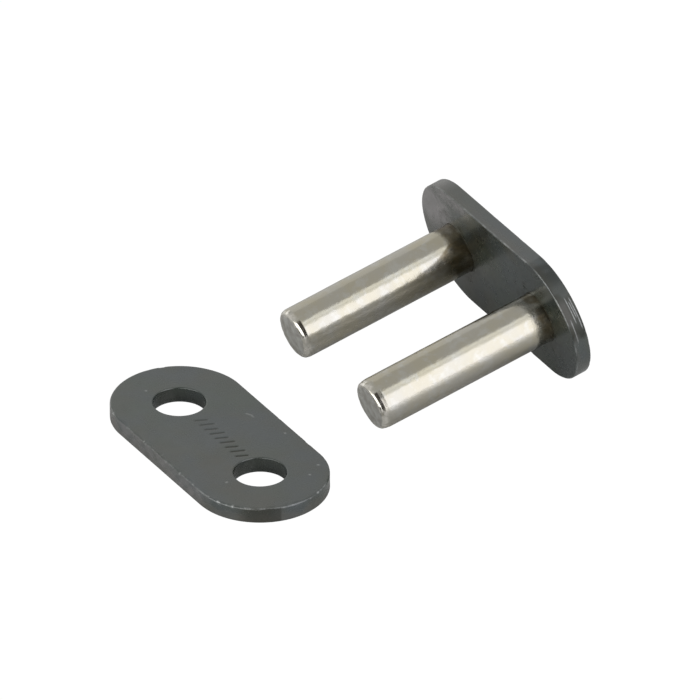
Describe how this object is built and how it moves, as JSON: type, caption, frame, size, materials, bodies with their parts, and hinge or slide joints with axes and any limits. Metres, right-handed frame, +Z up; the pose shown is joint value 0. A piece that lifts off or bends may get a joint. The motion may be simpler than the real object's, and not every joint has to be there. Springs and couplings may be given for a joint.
{
  "type": "roller chain connecting link",
  "caption": "Riveted connecting link for a roller chain: a stamped plate with fixed pins, leaning on the pin tips, and its loose cover plate lying flat in front.",
  "frame": {"origin": "on the table, under the middle of the set's bounding box", "axes": "+X along the pinned plate, +Y from the cover plate towards the pinned plate (the pins point to -Y and slope down 12.6 degrees), +Z up from the table"},
  "size_m": [0.0206, 0.0276, 0.0085],
  "materials": {
    "plate_steel": "dark grey phosphate or oxide finish on stamped steel, half gloss, bright where the edges are rubbed",
    "pin_steel": "bright, smooth hardened steel with a faint warm tone and fine pits"
  },
  "bodies": {
    "root": {"pin_plate": "plate_steel", "front_pin": "pin_steel", "rear_pin": "pin_steel", "cover_plate": "plate_steel"}
  },
  "joints": []
}
